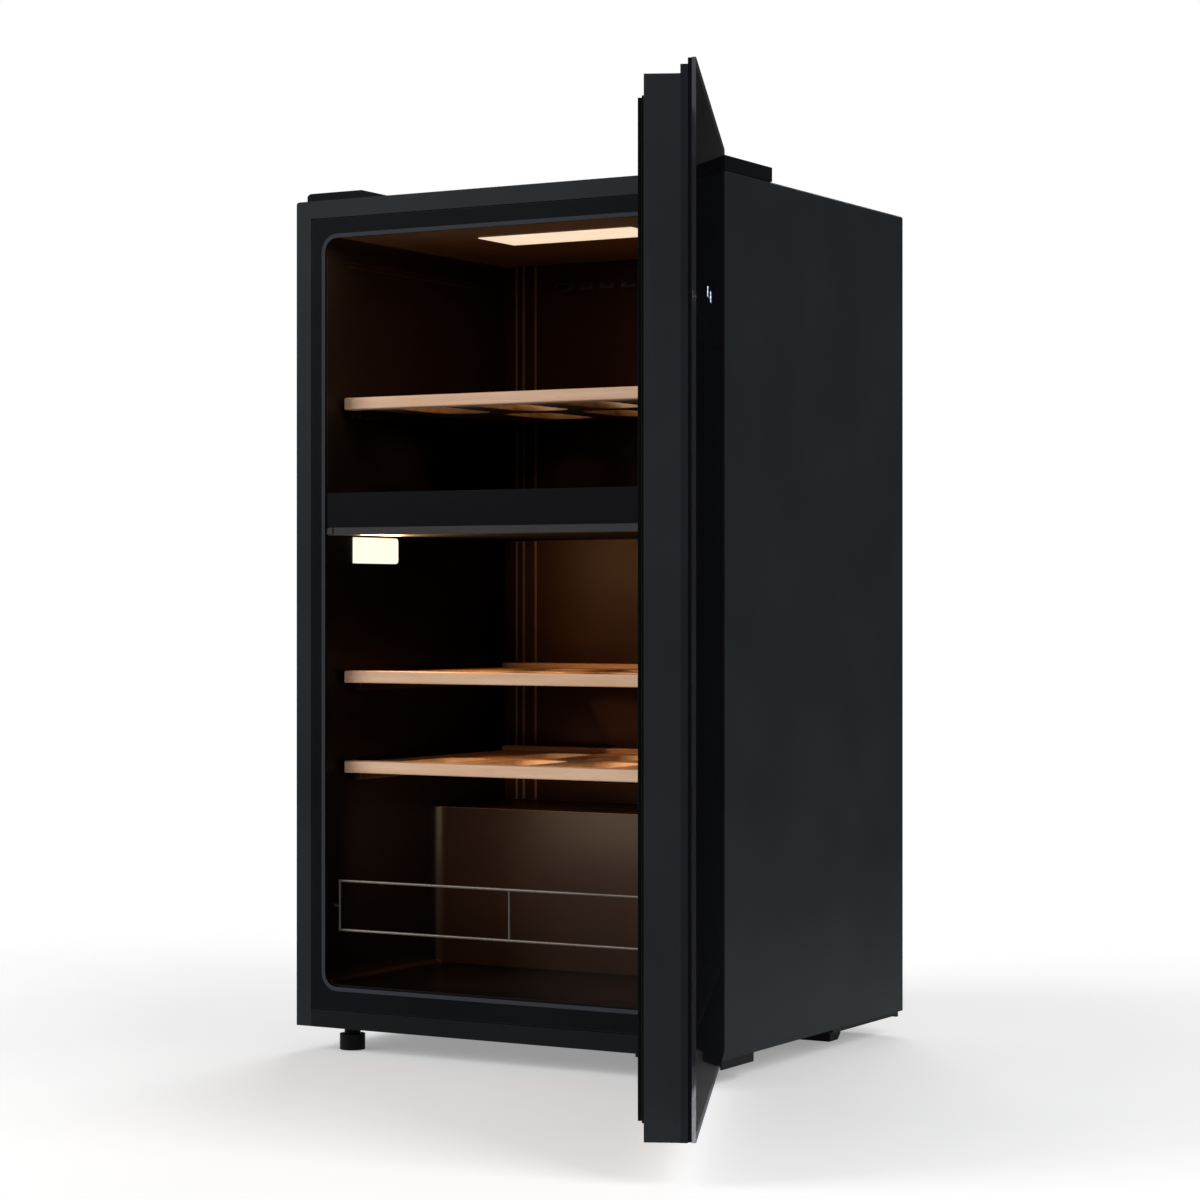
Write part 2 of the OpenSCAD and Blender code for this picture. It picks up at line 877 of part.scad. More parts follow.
// Steel can with round shoulders on a base plate with four ears
module compressor() {
    base = [156, 96, 3.5];
    color("#1a1a1c") at_height()
        translate([compressor_at[0], compressor_at[1], compressor_low]) {
            rotate_extrude() can_outline(compressor_r, tall = 130, shoulder = 22);
            translate([-base[0] / 2, -base[1] / 2, 0]) cube(base);
        }
}

// Half outline of a can with round shoulders at the top
module can_outline(r, tall, shoulder) {
    square([r, tall - shoulder]);
    square([r - shoulder, tall]);
    translate([r - shoulder, tall - shoulder]) intersection() {
        circle(shoulder);
        square(shoulder);
    }
}

// Steel tray that carries the compressor
module compressor_tray() {
    hw = inner_w / 2 - 1.5;
    front = 40;
    back = half_d - 6;
    rim_top = 14;
    color("#2a2c2e") at_height() {
        block([-hw, front, tray_z], [hw, back, tray_z + tray_t]);
        for (x = [-hw, hw - tray_t]) block([x, front, tray_z], [x + tray_t, back, rim_top]);
    }
}

// Four rubber feet between the tray and the compressor
module compressor_mounts() {
    low = tray_z + tray_t;
    color("#121212") at_height()
        for (x = [-68, 68], y = [-38, 38])
            translate([compressor_at[0] + x, compressor_at[1] + y, low])
                cylinder(r = 9, h = compressor_low - low);
}

// Serpentine condenser beside the compressor
module condenser_coil() {
    color("#2e2f31") at_height()
        for (y = [150, 172])
            translate([-130, y, 92]) serpentine(runs = 6, pitch = 24, length = 130, r = 3);
}

// Copper filter drier with tapered ends
module filter_drier() {
    r = 9;
    neck_r = 3;
    tall = 80;
    taper = 14;
    color("#b87448") at_height()
        translate([-60, 64, 40]) {
            cylinder(r = r, h = tall);
            translate([0, 0, tall]) cylinder(r1 = r, r2 = neck_r, h = taper);
            translate([0, 0, -taper]) cylinder(r1 = neck_r, r2 = r, h = taper);
        }
}

// Copper lines: condenser to drier, and the suction riser to both evaporators
module refrigerant_lines() {
    rear = cavity_back - 5.4;
    color("#b87448") at_height() {
        pipe([[-60, 64, 134], [-60, 64, 150], [-60, 100, 150], [-60, 130, 150]], line_r);
        pipe([[riser_at[0], 60, riser_low], [riser_at[0], riser_at[1], riser_low],
              [riser_at[0], riser_at[1], upper_evap_z], [riser_at[0], rear, upper_evap_z]], line_r);
        translate([riser_at[0], riser_at[1], lower_evap_z]) {
            translate([0, 0, -7]) cylinder(r = tee_r, h = 14);
            rotate([90, 0, 0]) cylinder(r = line_r - 0.5, h = riser_at[1] - rear);
        }
    }
}

// Shallow pan over the compressor that evaporates the drain water
module drip_tray() {
    low = [compressor_at[0] - 62, 66, 138];
    high = [compressor_at[0] + 62, 184, 158];
    wall = 1.8;
    color("#303236") at_height()
        difference() {
            block(low, high);
            block(low + [wall, wall, wall], high + [-wall, -wall, cut]);
        }
}

// Drain from the duct above the step down into the pan
module drain_tube() {
    color("#3a3a3c") at_height()
        translate([drain_at[0], drain_at[1], drain_low])
            difference() {
                cylinder(r = drain_r, h = hump_top - drain_low);
                bore(drain_r - 1.6, 0, hump_top - drain_low);
            }
}

// Plastic box for the power and control board
module control_box() {
    low = [128, 34, 24];
    high = [222, 74, 150];
    wall = [3, 3, 3];
    color("#d5d2c8") at_height()
        difference() {
            block(low, high);
            block(low + wall, high - wall);
        }
}

// Appliance inlet with three blades in its socket
module power_inlet() {
    wall = 2;
    rim = [17, 14];
    rim_y = sheet_t + 0.1;
    color("#0f0f10") at_height()
        translate([inlet_at[0], bay_cover_y, inlet_at[1]]) {
            difference() {
                union() {
                    block([-inlet_hw, -16, -inlet_hh], [inlet_hw, rim_y, inlet_hh]);
                    block([-rim[0], rim_y, -rim[1]], [rim[0], rim_y + 1.6, rim[1]]);
                }
                block([wall - inlet_hw, -13, wall - inlet_hh], [inlet_hw - wall, 4, inlet_hh - wall]);
            }
            for (at = [[-7, -2], [7, -2], [0, 3]])
                block([at[0] - 1, -14, at[1] - 2], [at[0] + 1, -1, at[1] + 2]);
        }
}

// Louvred steel cover of the machine bay
module rear_bay_cover() {
    slot = [72, 5];
    color("#1e2022") at_height()
        difference() {
            block([-half_w + 3, bay_cover_y, 1], [half_w - 3, bay_cover_y + sheet_t, bay_top - 3]);
            for (x = [-150, -60, 30], row = [0 : 9])
                translate([x, bay_cover_y, 34 + row * 13])
                    block([-slot[0] / 2, -cut, 0], [slot[0] / 2, sheet_t + cut, slot[1]]);
            translate([inlet_at[0], bay_cover_y, inlet_at[1]])
                block([-inlet_hw - gap, -cut, -inlet_hh - gap],
                      [inlet_hw + gap, sheet_t + cut, inlet_hh + gap]);
            at_bay_cover_holes() bore(hole_r, -sheet_t, sheet_t);
        }
}

// Pressed rail along the rear lower edge, narrower at its foot
module rear_base_rail() {
    color("#17191b") at_height()
        for (step = [[5, -6.5], [28, -11.3]])
            block([-half_w + step[0], half_d - 5, step[1]], [half_w - step[0], half_d - 0.5, -gap]);
}

// Moulded rail on which the rear of the cabinet stands
module rear_foot_rail() {
    hw = half_w - 39;
    y = half_d - 93;
    sole_d = 20;
    slope = 6;
    pocket_hw = 18;
    color("#151517") at_height()
        difference() {
            across(2 * hw)
                polygon([
                    [y, tray_z - gap],
                    [y, -foot_h],
                    [y + sole_d, -foot_h],
                    [y + sole_d + slope, -foot_h + slope],
                    [y + sole_d + slope, tray_z - gap]
                ]);
            for (x = [-4 : 4])
                block([x * 44 - pocket_hw, y + 3, -foot_h + 4], [x * 44 + pocket_hw, y + sole_d, 0]);
        }
}

// Levelling foot: sole, collar and stud, with the collar's top at the height given
module levelling_foot(side, collar_top) {
    sole_h = 15.5;
    color("#131315") at_height()
        translate([side * foot_x, foot_y, -foot_h]) {
            cylinder(r = foot_r, h = sole_h);
            cylinder(r = 2 * stud_r, h = foot_h + collar_top);
            cylinder(r = stud_r, h = foot_h + stud_rise);
        }
}

module left_foot() {
    levelling_foot(-1, -0.4);
}

module right_foot() {
    levelling_foot(1, -plate_t - 0.6);
}

// ---------- door, drawn closed ----------

// Space for the display behind the glass, grown by g
module display_space(g, back) {
    block([-display_hw - 1 - g, glass_back_y, display_z[0] - 1 - g],
          [display_hw + 1 + g, back, display_z[1] + 1 + g]);
}

// Outline of the window in its frame, inset on every side
module window_outline(inset, r) {
    opening_outline(window_w - 2 * inset, window_low + inset, window_high - inset, r);
}

// Frame of the door: rebate for the panes in front, a lip behind them
module door_frame() {
    color("#26272b") on_door()
        difference() {
            upright(frame_front_y, door_inner_y - frame_front_y)
                difference() {
                    opening_outline(2 * half_w, door_low, frame_high, 1.5);
                    window_outline(lip, window_r);
                }
            upright(frame_front_y - cut, pane_y + pane_t + 1.2 - frame_front_y)
                window_outline(0, window_r);
            display_space(1, frame_front_y + 6);
            translate([hinge_x, hinge_y, frame_high - bush_h - 0.3])
                cylinder(r = bush_r + glue, h = bush_h + 5);
            translate([hinge_x, hinge_y, door_low - cut])
                cylinder(r = bush_r + glue, h = bush_h + 1.3 + cut);
        }
}

// Stepped trim between the frame and the glass
module door_trim() {
    color("#202125") on_door()
        difference() {
            upright_ring(trim_front_y, frame_front_y - trim_front_y,
                         [2 * half_w, door_low, trim_high, 1],
                         [window_w, window_low, window_high, window_r]);
            display_space(1, frame_front_y + cut);
        }
}

// Opaque border behind the front glass
module glass_border() {
    color("#121318") on_door()
        difference() {
            upright_ring(glass_back_y + glue, trim_front_y - glass_back_y - glue,
                         [2 * half_w - 1, door_low + 0.5, glass_high - 0.5, 1],
                         [window_w, window_low, window_high, window_r]);
            display_space(0.5, trim_front_y + cut);
        }
}

// Full-height front glass
module front_glass() {
    color("#0c0d14") on_door()
        upright(glass_front_y, glass_t) opening_outline(2 * half_w, door_low, glass_high, 2);
}

// Inner pane of the window
module inner_glass() {
    color("#1a1c22") on_door() upright(pane_y, pane_t) window_outline(0.5, pane_r);
}

// Aluminium spacer that seals the two panes
module glass_spacer() {
    color("#3a3b3e") on_door()
        upright(glass_back_y + glue, pane_y - glass_back_y - 2 * glue)
            difference() {
                window_outline(0.5, pane_r);
                window_outline(7.5, 3);
            }
}

// Soft magnetic gasket: a wide foot and a narrower lip
module door_gasket() {
    inset = 14;
    width = 14;
    foot_t = 2.5;
    step = [-3, 1.5, -1.5, 0];
    outer = [2 * (half_w - inset), door_low + 12, frame_high - inset, 3];
    inner = [outer[0] - 2 * width, outer[1] + width, outer[2] - width, 3];
    color("#111113") on_door() {
        upright_ring(door_inner_y + glue, foot_t, outer, inner);
        upright_ring(door_inner_y + 2, gasket_t - 2, outer + step, inner - step);
    }
}

// Touch display: a board with two raised digit windows
module display_module() {
    digit = [13, 6];
    color("#c9ccd0") on_door() {
        block([-display_hw, glass_back_y + 0.7, display_z[0]],
              [display_hw, trim_front_y + 4, display_z[1]]);
        for (x = [-24, 24])
            translate([x, glass_back_y, (display_z[0] + display_z[1]) / 2])
                block([-digit[0], gap, -digit[1]], [digit[0], 1, digit[1]]);
    }
}

// Sleeve of a hinge bush, standing up from z = 0, with its rim under its foot
module flanged_bush(h) {
    difference() {
        union() {
            cylinder(r = bush_r, h = h);
            translate([0, 0, -1]) cylinder(r = bush_rim_r, h = bush_rim_t);
            translate([0, 0, -0.5]) cylinder(r = bush_r, h = 1.5);
        }
        bore(pin_r + bush_clear, -1, h + 1);
    }
}

// Flanged bushes in the door for the two hinge pins
module door_bushes() {
    color("#e4e4e0") on_door()
        translate([hinge_x, hinge_y, 0]) {
            translate([0, 0, frame_high]) mirror([0, 0, 1]) flanged_bush(bush_h);
            translate([0, 0, door_low]) flanged_bush(bush_h + 1);
        }
}

// ---------- shelves ----------

// Beech front rail of a shelf
module shelf_rail(top) {
    color("#caa384") at_height()
        block([-shelf_hw, shelf_front_y, top - rail_h], [shelf_hw, shelf_front_y + rail_d, top]);
}

// One-piece board with two staggered rows of bottle cradles and a raised bar at the rear
module shelf_board(top) {
    hw = shelf_hw - 2;
    high = top - board_drop;
    low = high - board_t;
    front = shelf_front_y + rail_d + gap;
    color("#b98a5c") at_height()
        difference() {
            union() {
                block([-hw, front, low], [hw, shelf_back_y, high]);
                block([-hw, shelf_back_y - bar_d, low], [hw, shelf_back_y, top + bar_rise]);
            }
            for (row = [0 : 1], i = [0 : 3 - row])
                translate([(i - (3 - row) / 2) * cradle_pitch,
                           front + cradle_first + row * cradle_row, low - cut])
                    linear_extrude(board_t + 2 * cut)
                        opening_outline(cradle[0], -cradle[1] / 2, cradle[1] / 2, cradle_r);
        }
}

module upper_shelf_rail() {
    shelf_rail(upper_shelf_top);
}

module upper_shelf_board() {
    shelf_board(upper_shelf_top);
}

module middle_shelf_rail() {
    shelf_rail(middle_shelf_top);
}

module middle_shelf_board() {
    shelf_board(middle_shelf_top);
}

module lower_shelf_rail() {
    shelf_rail(lower_shelf_top);
}

module lower_shelf_board() {
    shelf_board(lower_shelf_top);
}

outer_shell();
rear_panel();
bottom_plate();
insulation_foam();
inner_liner();
face_frame();
divider_core();
divider_trim();
divider_strip();
upper_duct_cover();
lower_duct_cover();
upper_evaporator();
lower_evaporator();
upper_fan_housing();
lower_fan_housing();
upper_fan_rotor();
lower_fan_rotor();
ceiling_lamp_housing();
ceiling_lamp_lens();
wall_lamp_housing();
wall_lamp_lens();
temperature_sensors();
bottle_guard();
hinge_top_plate();
hinge_top_pin();
hinge_top_cover();
blank_cap();
hinge_bottom_bracket();
hinge_bottom_pin();
machine_screws();
compressor();
compressor_tray();
compressor_mounts();
condenser_coil();
filter_drier();
refrigerant_lines();
drip_tray();
drain_tube();
control_box();
power_inlet();
rear_bay_cover();
rear_base_rail();
rear_foot_rail();
left_foot();
right_foot();
door_frame();
door_trim();
glass_border();
front_glass();
inner_glass();
glass_spacer();
door_gasket();
display_module();
door_bushes();
upper_shelf_rail();
upper_shelf_board();
middle_shelf_rail();
middle_shelf_board();
lower_shelf_rail();
lower_shelf_board();
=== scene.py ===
"""Looks of the two-zone wine cooler: materials, lit interior, printed glass, floor, lights and camera."""
import json
import math

import bmesh
import bpy
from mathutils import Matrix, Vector


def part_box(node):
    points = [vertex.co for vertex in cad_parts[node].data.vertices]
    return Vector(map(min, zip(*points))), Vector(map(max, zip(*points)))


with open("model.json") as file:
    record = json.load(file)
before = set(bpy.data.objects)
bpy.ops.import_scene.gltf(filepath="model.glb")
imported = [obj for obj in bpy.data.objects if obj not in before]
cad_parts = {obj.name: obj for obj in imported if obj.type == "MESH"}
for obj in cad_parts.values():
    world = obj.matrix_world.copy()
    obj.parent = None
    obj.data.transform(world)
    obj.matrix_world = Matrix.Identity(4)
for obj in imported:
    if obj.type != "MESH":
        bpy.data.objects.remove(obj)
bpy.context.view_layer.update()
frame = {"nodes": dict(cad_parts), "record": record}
NODES = frame["nodes"]
HINGE = next(j for j in frame["record"]["behaviour"]["joints"] if j["name"] == "door_hinge")

# So near 1 that glass and print hardly reflect at a flat angle, as in the photo
NO_GLARE = 1.002


# ---------- colour and node helpers ----------


def linear(r, g, b):
    """An sRGB colour in 0..255 as the linear RGBA that shaders take."""
    def one(c):
        c /= 255
        return c / 12.92 if c <= 0.04045 else ((c + 0.055) / 1.055) ** 2.4

    return (one(r), one(g), one(b), 1.0)


def node_at(tree, kind, **settings):
    """Adds a shader node and sets its properties."""
    node = tree.nodes.new(kind)
    for key, value in settings.items():
        setattr(node, key, value)
    return node


def start_material(name):
    """A new node material and its main shader."""
    mat = bpy.data.materials.new(name)
    mat.use_nodes = True
    return mat, mat.node_tree, mat.node_tree.nodes["Principled BSDF"]


def object_coords(tree, scale=(1, 1, 1)):
    """Object coordinates in metres, stretched by scale."""
    coords = node_at(tree, "ShaderNodeTexCoord")
    mapping = node_at(tree, "ShaderNodeMapping")
    mapping.inputs["Scale"].default_value = scale
    tree.links.new(coords.outputs["Object"], mapping.inputs["Vector"])
    return mapping.outputs["Vector"]


def noise(tree, vector, scale, detail, roughness=0.55):
    """A noise texture's value."""
    tex = node_at(tree, "ShaderNodeTexNoise")
    tex.inputs["Scale"].default_value = scale
    tex.inputs["Detail"].default_value = detail
    tex.inputs["Roughness"].default_value = roughness
    tree.links.new(vector, tex.inputs["Vector"])
    return tex.outputs["Fac"]


def ramp(tree, value, low, high, at=(0.3, 0.7)):
    """Runs from one colour to another as value goes between two places."""
    node = node_at(tree, "ShaderNodeValToRGB")
    node.color_ramp.elements[0].position = at[0]
    node.color_ramp.elements[1].position = at[1]
    node.color_ramp.elements[0].color = low
    node.color_ramp.elements[1].color = high
    tree.links.new(value, node.inputs["Fac"])
    return node.outputs["Color"]


def grey(value):
    """A linear grey as RGBA."""
    return (value, value, value, 1.0)


def blend_colours(tree, factor, a, b):
    """Mixes two colours; each may be a socket or a plain colour."""
    mix = node_at(tree, "ShaderNodeMix", data_type="RGBA")
    for socket, value in ((mix.inputs[0], factor), (mix.inputs[6], a), (mix.inputs[7], b)):
        if hasattr(value, "is_linked"):
            tree.links.new(value, socket)
        else:
            socket.default_value = value
    return mix.outputs[2]


def worn_and_lit_edges(tree, radius, strength):
    """Bright on worn edges and on edges with a painted highlight: how far a bevelled normal leaves the
    true one, as a cosine.
    """
    least_turn, most_turn = 0.985, 0.8
    bevel = node_at(tree, "ShaderNodeBevel", samples=4)
    bevel.inputs["Radius"].default_value = radius
    geometry = node_at(tree, "ShaderNodeNewGeometry")
    dot = node_at(tree, "ShaderNodeVectorMath", operation="DOT_PRODUCT")
    tree.links.new(bevel.outputs["Normal"], dot.inputs[0])
    tree.links.new(geometry.outputs["Normal"], dot.inputs[1])
    turn = node_at(tree, "ShaderNodeMapRange")
    turn.inputs["From Min"].default_value = least_turn
    turn.inputs["From Max"].default_value = most_turn
    turn.inputs["To Max"].default_value = strength
    tree.links.new(dot.outputs["Value"], turn.inputs["Value"])
    return turn.outputs["Result"]


def set_bump(tree, shader, height, strength, distance):
    """Lets a value raise and lower the surface's shading, by up to distance in metres."""
    bump = node_at(tree, "ShaderNodeBump")
    bump.inputs["Strength"].default_value = strength
    bump.inputs["Distance"].default_value = distance
    tree.links.new(height, bump.inputs["Height"])
    tree.links.new(bump.outputs["Normal"], shader.inputs["Normal"])


def door_coords(tree):
    """Coordinates on the door as it is when closed, in metres from the hinge axis and the floor."""
    coords = node_at(tree, "ShaderNodeTexCoord")
    mapping = node_at(tree, "ShaderNodeMapping", vector_type="TEXTURE")
    mapping.inputs["Location"].default_value = (*HINGE["pos_m"][:2], 0)
    mapping.inputs["Rotation"].default_value = (0, 0, math.radians(-HINGE["range_deg"][0]))
    tree.links.new(coords.outputs["Object"], mapping.inputs["Vector"])
    return mapping.outputs["Vector"]


def combine(tree, operation, a, b):
    """Joins two values with a maths node; b may be a plain number."""
    node = node_at(tree, "ShaderNodeMath", operation=operation)
    tree.links.new(a, node.inputs[0])
    if hasattr(b, "is_linked"):
        tree.links.new(b, node.inputs[1])
    else:
        node.inputs[1].default_value = b
    return node.outputs[0]


def inside(tree, coords, spans):
    """1 inside a box of coordinates, given for some axes as middle and half-width, and 0 outside."""
    split = node_at(tree, "ShaderNodeSeparateXYZ")
    tree.links.new(coords, split.inputs[0])
    mask = None
    for axis, (middle, half) in spans.items():
        near = node_at(tree, "ShaderNodeMath", operation="COMPARE")
        tree.links.new(split.outputs[axis], near.inputs[0])
        near.inputs[1].default_value = middle
        near.inputs[2].default_value = half
        mask = combine(tree, "MULTIPLY", near.outputs[0], mask) if mask else near.outputs[0]
    return mask


def repaint(mat, mask, colour):
    """Gives a material another colour where the mask is 1."""
    tree = mat.node_tree
    socket = tree.nodes["Principled BSDF"].inputs["Base Color"]
    tree.links.new(blend_colours(tree, mask, socket.links[0].from_socket, linear(*colour)), socket)


def repaint_place(mat, spans, colour):
    """Repaints a material inside a box of object coordinates, as inside() takes it."""
    tree = mat.node_tree
    repaint(mat, inside(tree, object_coords(tree), spans), colour)


def coated(name, colour, rough=0.45, grain=900, bump=0.12, wear_and_highlight=0.25, metal=0.0, vary=0.16,
           coat=0.0, edge=None, stretch=(1, 1, 1), shine=0.1, ior=1.45):
    """Paint or moulded plastic: fine grain, slow colour drift and paler edges, which are wear on most
    materials and a painted highlight on the liner and duct covers.
    """
    paler = 26
    rough_swing = 0.07
    least_rough = 0.03
    edge_radius = 0.0012
    grain_depth = 0.0004
    coat_rough = 0.4
    mat, tree, shader = start_material(name)
    base = linear(*colour)
    where = object_coords(tree, stretch)
    drift = noise(tree, where, 9, 3)
    dark = tuple(c * (1 - vary) for c in base[:3]) + (1.0,)
    pale = tuple(c * (1 + vary) for c in base[:3]) + (1.0,)
    body = ramp(tree, drift, dark, pale)
    worn_and_lit = linear(*(edge or tuple(min(255, c + paler) for c in colour)))
    tree.links.new(blend_colours(tree, worn_and_lit_edges(tree, edge_radius, wear_and_highlight), body, worn_and_lit),
                   shader.inputs["Base Color"])
    fine = noise(tree, where, grain, 2)
    smooth = grey(max(rough - rough_swing, least_rough))
    coarse = grey(min(rough + rough_swing, 1))
    tree.links.new(ramp(tree, fine, smooth, coarse), shader.inputs["Roughness"])
    shader.inputs["Metallic"].default_value = metal
    shader.inputs["Specular IOR Level"].default_value = shine
    shader.inputs["IOR"].default_value = ior
    shader.inputs["Coat Weight"].default_value = coat
    shader.inputs["Coat Roughness"].default_value = coat_rough
    set_bump(tree, shader, fine, bump, grain_depth)
    return mat


def brushed(name, colour, rough=0.34):
    """Bare metal with fine level draw lines."""
    draw_lines = (3, 3, 220)
    return coated(name, colour, rough=rough, grain=60, bump=0.1, wear_and_highlight=0.35, metal=1.0,
                  vary=0.12, stretch=draw_lines)


def beech(name, light, dark):
    """Beech with long grain across the cooler, fine pores and a dry oil finish."""
    along_grain, along_pores = (1.6, 22, 22), (22, 420, 420)
    deep_share = 0.72
    mat, tree, shader = start_material(name)
    where = object_coords(tree, along_grain)
    broad = noise(tree, where, 4.2, 5, 0.6)
    pores = noise(tree, object_coords(tree, along_pores), 3, 3)
    board = ramp(tree, broad, linear(*dark), linear(*light), (0.34, 0.66))
    fleck = ramp(tree, pores, grey(0.0), grey(0.35), (0.56, 0.72))
    deep = tuple(c * deep_share for c in linear(*dark)[:3]) + (1.0,)
    to_value = node_at(tree, "ShaderNodeRGBToBW")
    tree.links.new(fleck, to_value.inputs["Color"])
    tree.links.new(blend_colours(tree, to_value.outputs["Val"], board, deep),
                   shader.inputs["Base Color"])
    tree.links.new(ramp(tree, broad, grey(0.42), grey(0.58)), shader.inputs["Roughness"])
    set_bump(tree, shader, pores, 0.15, 0.0003)
    return mat


def lit(name, colour, strength):
    """Diffuser of a lamp, with faint clouds in its glow."""
    cloud_share = 0.88
    mat, tree, shader = start_material(name)
    cloud = noise(tree, object_coords(tree), 30, 2)
    base = linear(*colour)
    dim = tuple(c * cloud_share for c in base[:3]) + (1.0,)
    glow = ramp(tree, cloud, dim, base)
    tree.links.new(glow, shader.inputs["Base Color"])
    tree.links.new(glow, shader.inputs["Emission Color"])
    shader.inputs["Emission Strength"].default_value = strength
    shader.inputs["Roughness"].default_value = 0.5
    set_bump(tree, shader, cloud, 0.05, 0.0003)
    return mat


def tinted_glass(name, colour, rough, see_through, gloss):
    """Dark glass with faint smears; see_through is how much of it passes light, gloss its coat."""
    smear_share, smear_rough = 0.8, 0.05
    mat, tree, shader = start_material(name)
    where = object_coords(tree)
    smear = noise(tree, where, 14, 4)
    base = linear(*colour)
    tree.links.new(ramp(tree, smear, tuple(c * smear_share for c in base[:3]) + (1.0,), base),
                   shader.inputs["Base Color"])
    tree.links.new(ramp(tree, smear, grey(rough), grey(rough + smear_rough)),
                   shader.inputs["Roughness"])
    shader.inputs["Transmission Weight"].default_value = see_through
    shader.inputs["IOR"].default_value = NO_GLARE
    shader.inputs["Specular IOR Level"].default_value = 0.0
    shader.inputs["Coat Weight"].default_value = gloss
    set_bump(tree, shader, smear, 0.01, 0.0002)
    return mat


def segments(figure, x, z):
    """The lit bars of one seven-segment figure round (x, z), as spans for inside()."""
    half_w, half_h, stroke = 0.0021, 0.004, 0.00045
    level = {"a": half_h, "g": 0.0, "d": -half_h}
    post = {"f": (-half_w, half_h / 2), "b": (half_w, half_h / 2),
            "e": (-half_w, -half_h / 2), "c": (half_w, -half_h / 2)}
    lit_bars = {"1": "bc", "2": "abged", "8": "abcdefg"}[figure]
    for bar in lit_bars:
        if bar in level:
            yield {"X": (x, half_w), "Z": (z + level[bar], stroke)}
        else:
            yield {"X": (x + post[bar][0], stroke), "Z": (z + post[bar][1], half_h / 2)}


def display(name, strength):
    """Dark display with a plain two-figure temperature in each of its two windows."""
    mat = coated(name, (14, 15, 18), rough=0.4, shine=0.0, ior=NO_GLARE)
    tree = mat.node_tree
    coords = door_coords(tree)
    low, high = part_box("display_module")
    middle_z = (low.z + high.z) / 2
    window_x = 0.024
    figure_x = 0.0045
    mask = None
    for window, figures in ((-window_x, "12"), (window_x, "18")):
        for place, figure in zip((-figure_x, figure_x), figures):
            for spans in segments(figure, window + place - HINGE["pos_m"][0], middle_z):
                bar = inside(tree, coords, spans)
                mask = combine(tree, "MAXIMUM", mask, bar) if mask else bar
    shader = tree.nodes["Principled BSDF"]
    shader.inputs["Emission Color"].default_value = linear(236, 242, 250)
    tree.links.new(combine(tree, "MULTIPLY", mask, strength), shader.inputs["Emission Strength"])
    return mat


# ---------- materials ----------

PAINT = coated("side_paint", (34, 38, 41), rough=0.5, grain=1400, bump=0.16, wear_and_highlight=0.2)
PAINT_DARK = coated("base_paint", (18, 20, 22), rough=0.5)
FRAME = coated("front_frame", (15, 17, 20), rough=0.5, edge=(64, 62, 62), wear_and_highlight=0.5, shine=0.04)
DOOR = coated("door_plastic", (42, 44, 49), rough=0.42, edge=(60, 61, 66))
TRIM = coated("door_step", (34, 35, 41), rough=0.38, edge=(52, 53, 58))
PRINT = coated("glass_print", (20, 20, 25), rough=0.5, shine=0.0, ior=NO_GLARE)
# The liner's and duct covers' pale edge colours, with a strong edge setting, paint highlights on their
# edges and ribs
LINER = coated("liner_plastic", (34, 22, 15), rough=0.36, bump=0.06, wear_and_highlight=0.6, edge=(128, 92, 62),
               coat=0.12)
DUCT = coated("duct_plastic", (46, 25, 13), rough=0.46, bump=0.1, wear_and_highlight=0.6, edge=(128, 80, 46))
PANEL = coated("divider_gloss", (9, 10, 14), rough=0.34, bump=0.03, coat=0.02, shine=0.05)
SLAB = coated("divider_slab", (18, 17, 17), rough=0.5)
STRIP = coated("divider_strip", (42, 39, 40), rough=0.3, coat=0.4)
BLACK = coated("black_plastic", (14, 14, 16), rough=0.5)
CAP = coated("cap_plastic", (18, 19, 21), rough=0.5, ior=1.25)
GASKET = coated("door_seal", (17, 17, 19), rough=0.6, grain=500, wear_and_highlight=0.7, edge=(66, 66, 70))
RUBBER = coated("soft_rubber", (17, 17, 19), rough=0.72, grain=500, bump=0.25, wear_and_highlight=0.1)
PALE = coated("pale_plastic", (214, 211, 202), rough=0.5, vary=0.05)
FOAM = coated("foam", (216, 205, 160), rough=0.9, grain=260, bump=0.6, wear_and_highlight=0.0)
STEEL = brushed("bright_steel", (168, 170, 172))
PLATE = brushed("plated_steel", (116, 119, 122), rough=0.4)
ALUMINIUM = brushed("aluminium", (186, 190, 193))
SPACER = coated("spacer_bar", (52, 53, 56), rough=0.4, metal=0.8)
COPPER = brushed("copper", (184, 112, 70), rough=0.3)
CAN = coated("compressor_paint", (26, 26, 28), rough=0.35, coat=0.3)
WIRE = coated("wire_coating", (104, 96, 90), rough=0.35, metal=0.6)
BEECH_FRONT = beech("beech_rail", (244, 204, 168), (228, 180, 142))
BEECH_BOARD = beech("beech_board", (206, 160, 114), (180, 130, 84))
CEILING_LIGHT = lit("ceiling_light", (252, 228, 198), 0.95)
WALL_LIGHT = lit("wall_light", (255, 250, 230), 1.05)
DISPLAY = display("display_figures", 60.0)
GLASS_FRONT = tinted_glass("front_glass_tint", (96, 98, 108), 0.02, 0.98, 0.01)
GLASS_INNER = tinted_glass("inner_glass_tint", (150, 154, 162), 0.03, 0.98, 0.06)


# ---------- painted highlights and shade, by place ----

# Metres. The duct covers' grooves are cut at these places; the painted highlight in them is 0.4 mm wider
# on each side
GROOVES_X = (0.166, 0.181, 0.190)
GROOVE_HIGHLIGHT_HALF = 0.0014
BEAD_HIGHLIGHT_HALF = 0.0004
FLOOR_SHADE_AND_CEILING_LIGHT_HALF = 0.004
WALL_SHADE_HALF = 0.005
GLASS_END_HIGHLIGHT_HALF = 0.0008


def middle_and_half(low, high):
    """A span from low to high as inside() takes it."""
    return (low + high) / 2, (high - low) / 2


# Painted highlight on the bead of the front frame. The bead stands proud of the front frame, so its face
# is the frame's foremost plane
repaint_place(FRAME, {"Y": (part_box("face_frame")[0].y, BEAD_HIGHLIGHT_HALF)}, (56, 60, 66))
